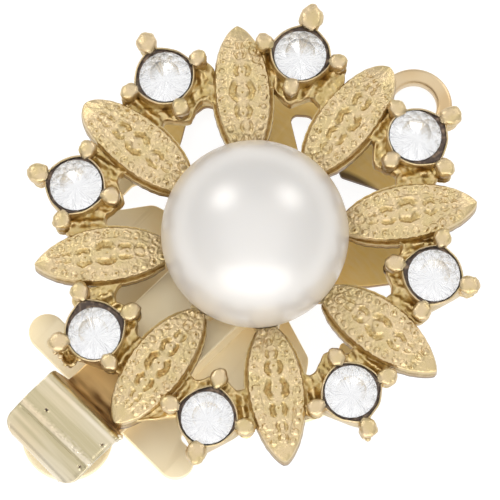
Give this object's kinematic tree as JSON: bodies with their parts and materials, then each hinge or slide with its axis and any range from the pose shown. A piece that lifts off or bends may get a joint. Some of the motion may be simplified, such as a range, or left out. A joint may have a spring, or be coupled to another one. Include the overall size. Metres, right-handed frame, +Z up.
{
  "type": "flower box clasp",
  "caption": "Gold-tone flower clasp: a folded spring tongue with a thumb tab slides into a box under a cast flower set with a pearl and clear stones; a ring on one side, a loop on the other.",
  "frame": {"origin": "middle of the flower, on the underside of the back plate", "axes": "+X along the clasp from the tongue towards the ring, +Y across it, +Z up through the pearl"},
  "size_m": [0.0308, 0.0243, 0.0111],
  "materials": {
    "gold_sheet": "polished pale gold plate on sheet",
    "gold_casting": "satin pale gold plate on a casting with darker recesses",
    "pearl": "pearl coat, soft sheen",
    "stone": "clear foiled crystal"
  },
  "bodies": {
    "clasp": {"base_plate": "gold_sheet", "flower_casting": "gold_casting", "pearl": "pearl", "rhinestone_1": "stone", "rhinestone_2": "stone", "rhinestone_3": "stone", "rhinestone_4": "stone", "rhinestone_5": "stone", "rhinestone_6": "stone", "rhinestone_7": "stone", "rhinestone_8": "stone"},
    "tongue": {"tongue_leaf": "gold_sheet"},
    "thumb": {"thumb_leaf": "gold_sheet"}
  },
  "joints": [
    {"name": "tongue_slide", "type": "slide", "parent": "clasp", "child": "tongue", "axis": [-1, 0, 0], "range_m": [0, 0.009]},
    {"name": "thumb_press", "type": "hinge", "parent": "tongue", "child": "thumb", "pos_m": [-0.0016, 0, 0.00123], "axis": [0, -1, 0], "range_deg": [0, 3], "stiffness_Nm_per_rad": 0.5}
  ]
}
